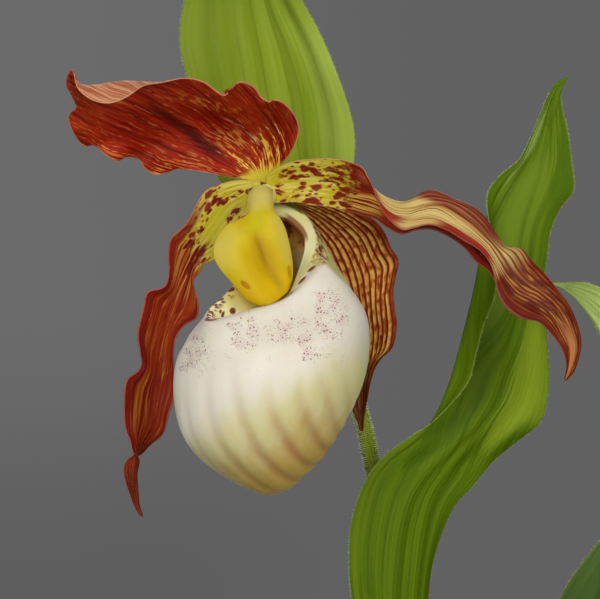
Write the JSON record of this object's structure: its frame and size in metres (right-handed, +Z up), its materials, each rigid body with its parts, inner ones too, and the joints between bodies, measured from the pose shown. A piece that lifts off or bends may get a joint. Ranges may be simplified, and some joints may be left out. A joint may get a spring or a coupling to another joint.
{
  "type": "potted cypripedium orchid",
  "caption": "Potted slipper orchid in bloom, with a cream pouch, waved red-brown petals, pleated leaves and a clay pot.",
  "frame": {"origin": "centre of the pot's foot, on the surface it stands on", "axes": "+Z up along the pot's axis; the flower faces -Y"},
  "size_m": [0.3282, 0.2417, 0.5353],
  "materials": {
    "bract": "satin, pleated",
    "clay": "unglazed terracotta",
    "column": "satin",
    "leaf": "satin, pleated",
    "lip": "waxy",
    "petal": "satin, veined and spotted",
    "root": "matt",
    "sepal": "satin, veined",
    "sheath": "papery",
    "soil": "loose mineral and bark mix",
    "staminode": "waxy",
    "stem": "downy"
  },
  "bodies": {
    "root": {"bract": "bract", "column": "column", "dorsal_sepal": "sepal", "flower_stem": "stem", "leaf_1": "leaf", "leaf_2": "leaf", "leaf_3": "leaf", "leaf_4": "leaf", "lip_pouch": "lip", "ovary": "stem", "petal_left": "petal", "petal_right": "petal", "pot": "clay", "rhizome": "root", "sheath_main": "sheath", "sheath_second": "sheath", "shoot_leaf_1": "leaf", "shoot_leaf_2": "leaf", "shoot_leaf_3": "leaf", "shoot_leaf_4": "leaf", "shoot_stem": "stem", "soil": "soil", "staminode": "staminode", "synsepal": "sepal"}
  },
  "joints": []
}
